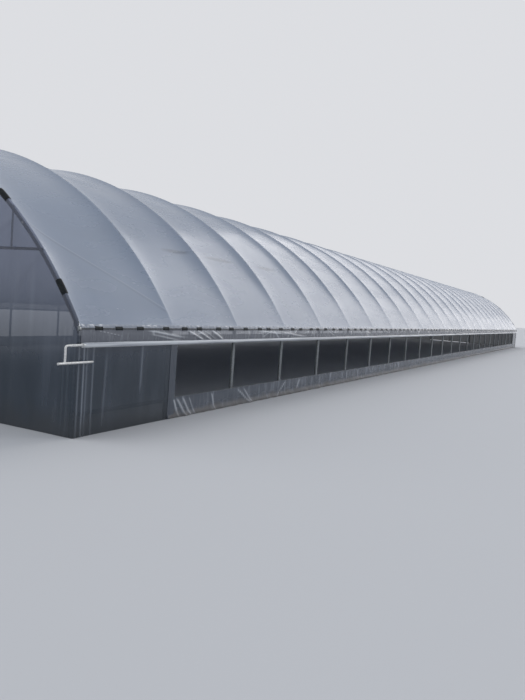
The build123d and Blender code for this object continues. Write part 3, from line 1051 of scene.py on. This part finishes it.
# Doors
# Two light leaves in each gable, with frames of square tube painted with zinc, on short hinges.
# The film is drawn over each frame.
zinc_paint = galvanised("zinc painted square tube", (0.50, 0.52, 0.53), (0.42, 0.44, 0.45), soil_height=0.1)
finish_nodes(zinc_paint, *[f"{end}_{side}_door_frame" for _, end in ends for _, side in sides])
leaf_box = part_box("near_front_door_frame")
leaf_low, leaf_high = leaf_box[0].z, leaf_box[1].z
leaf_inner, leaf_outer = -leaf_box[1].y, -leaf_box[0].y - 0.005
leaf_face = far_x + 0.0155
bar = 0.03
rail_heights = (0.64, 1.24)
leaf_y = np.linspace(leaf_inner, leaf_outer, 73)
leaf_z = np.linspace(leaf_low, leaf_high, 106)[:, None]
rise = (leaf_z - leaf_low) / (leaf_high - leaf_low)
from_upright = np.minimum(leaf_y - leaf_inner, leaf_outer - leaf_y)
to_rim = np.minimum(np.minimum(leaf_z - leaf_low, leaf_high - leaf_z), from_upright)
to_rail = np.abs(leaf_z - np.array(rail_heights)).min(axis=1, keepdims=True)
over_frame = np.maximum(1 - ease(to_rim, bar, 1.3 * bar), 1 - ease(to_rail, 0.5 * bar, 0.8 * bar))
shine = 0.7 * over_frame

for end, end_label in ends:
    for side, side_label in sides:
        seed = 307 + 5 * side + 2 * end
        folds = random_folds(seed, leaf_inner, leaf_outer, per_metre=5, lean=0.2,
                             width=(0.012, 0.03), height=(0.001, 0.0025))
        out = np.maximum(fold_height(leaf_y, rise, folds), 0) * ease(to_rim, 0, 0.1)
        leaf = add_sheet(f"{end_label}_{side_label}_door_film", clear_film, end * (leaf_face + out),
                         side * leaf_y, leaf_z, flip=side * end < 0, highlight_and_frame=shine)
        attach(leaf, "root")
        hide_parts(f"{end_label}_door_films")

# Floor, light and camera
# A plain pale floor and soft light from all round. The camera stands where the photograph was taken.
floor_grey = (0.56, 0.56, 0.57)
sky_light = (0.79, 0.875, 1.0, 1)
sky_strength = 0.55
sky_seen = (0.72, 0.73, 0.76, 1)
reach = 300
floor_paint, tree, shader = new_material("floor", floor_grey, roughness=0.9)
floor = add_sheet("floor", floor_paint, np.array((-reach, reach)), np.array(((-reach,), (reach,))), 0)

world = bpy.data.worlds.new("soft light")
bpy.context.scene.world = world
world.use_nodes = True
tree = world.node_tree
soft = tree.nodes["Background"]
soft.inputs["Color"].default_value = sky_light
soft.inputs["Strength"].default_value = sky_strength
seen = add_node(tree, "ShaderNodeBackground", Color=sky_seen)
path = add_node(tree, "ShaderNodeLightPath")
ways = combine(tree, "MAXIMUM", path.outputs["Is Camera Ray"], path.outputs["Is Glossy Ray"])
ways = combine(tree, "MAXIMUM", ways, path.outputs["Is Transmission Ray"])
choose = tree.nodes.new("ShaderNodeMixShader")
for socket, value in zip(choose.inputs, (ways, soft.outputs[0], seen.outputs[0])):
    fill(tree, socket, value)
tree.links.new(choose.outputs[0], tree.nodes["World Output"].inputs["Surface"])


def add_sun(name, strength, softness, travel, colour=(1, 1, 1), in_gloss=True):
    """Light that travels one way, softened by an angle in degrees. Reflections may leave it out."""
    data = bpy.data.lights.new(name, "SUN")
    data.energy = strength
    data.angle = math.radians(softness)
    data.color = colour
    lamp = bpy.data.objects.new(name, data)
    lamp.rotation_euler = Vector(travel).to_track_quat("-Z", "Y").to_euler()
    lamp.visible_glossy = in_gloss
    bpy.context.scene.collection.objects.link(lamp)


warm, warmish = (1.0, 0.95, 0.90), (1.0, 0.97, 0.96)
add_sun("sun", strength=1.0, softness=40, travel=(-0.88, 0.02, -0.42), colour=warm, in_gloss=False)
add_sun("glint", strength=0.25, softness=14, travel=(-0.55, 0.6, -0.6))
add_sun("sky glow", strength=0.85, softness=60, travel=(0.35, -0.6, -0.65), in_gloss=False)
add_sun("low light", strength=0.5, softness=50, travel=(-0.97, 0.02, -0.22), colour=warmish)

camera_place = Vector((-23.27, -8.33, 1.40))
camera_yaw = math.radians(27.56)
camera_pitch = math.radians(-3.95)
camera_roll = math.radians(4.17)
focal_pixels = 632.7
frame_height = 700
camera_data = bpy.data.cameras.new("camera")
camera_data.lens = focal_pixels / frame_height * camera_data.sensor_width
camera_data.clip_end = 500
camera = bpy.data.objects.new("camera", camera_data)
bpy.context.scene.collection.objects.link(camera)
heading = Vector((math.cos(camera_yaw), math.sin(camera_yaw), 0))
ahead = math.cos(camera_pitch) * heading + Vector((0, 0, math.sin(camera_pitch)))
level = ahead.cross(Vector((0, 0, 1))).normalized()
upright = level.cross(ahead)
right = math.cos(camera_roll) * level + math.sin(camera_roll) * upright
up = -math.sin(camera_roll) * level + math.cos(camera_roll) * upright
camera.matrix_world = Matrix.Translation(camera_place) @ Matrix((right, up, -ahead)).transposed().to_4x4()
bpy.context.scene.camera = camera
bpy.context.scene.view_settings.view_transform = "Standard"
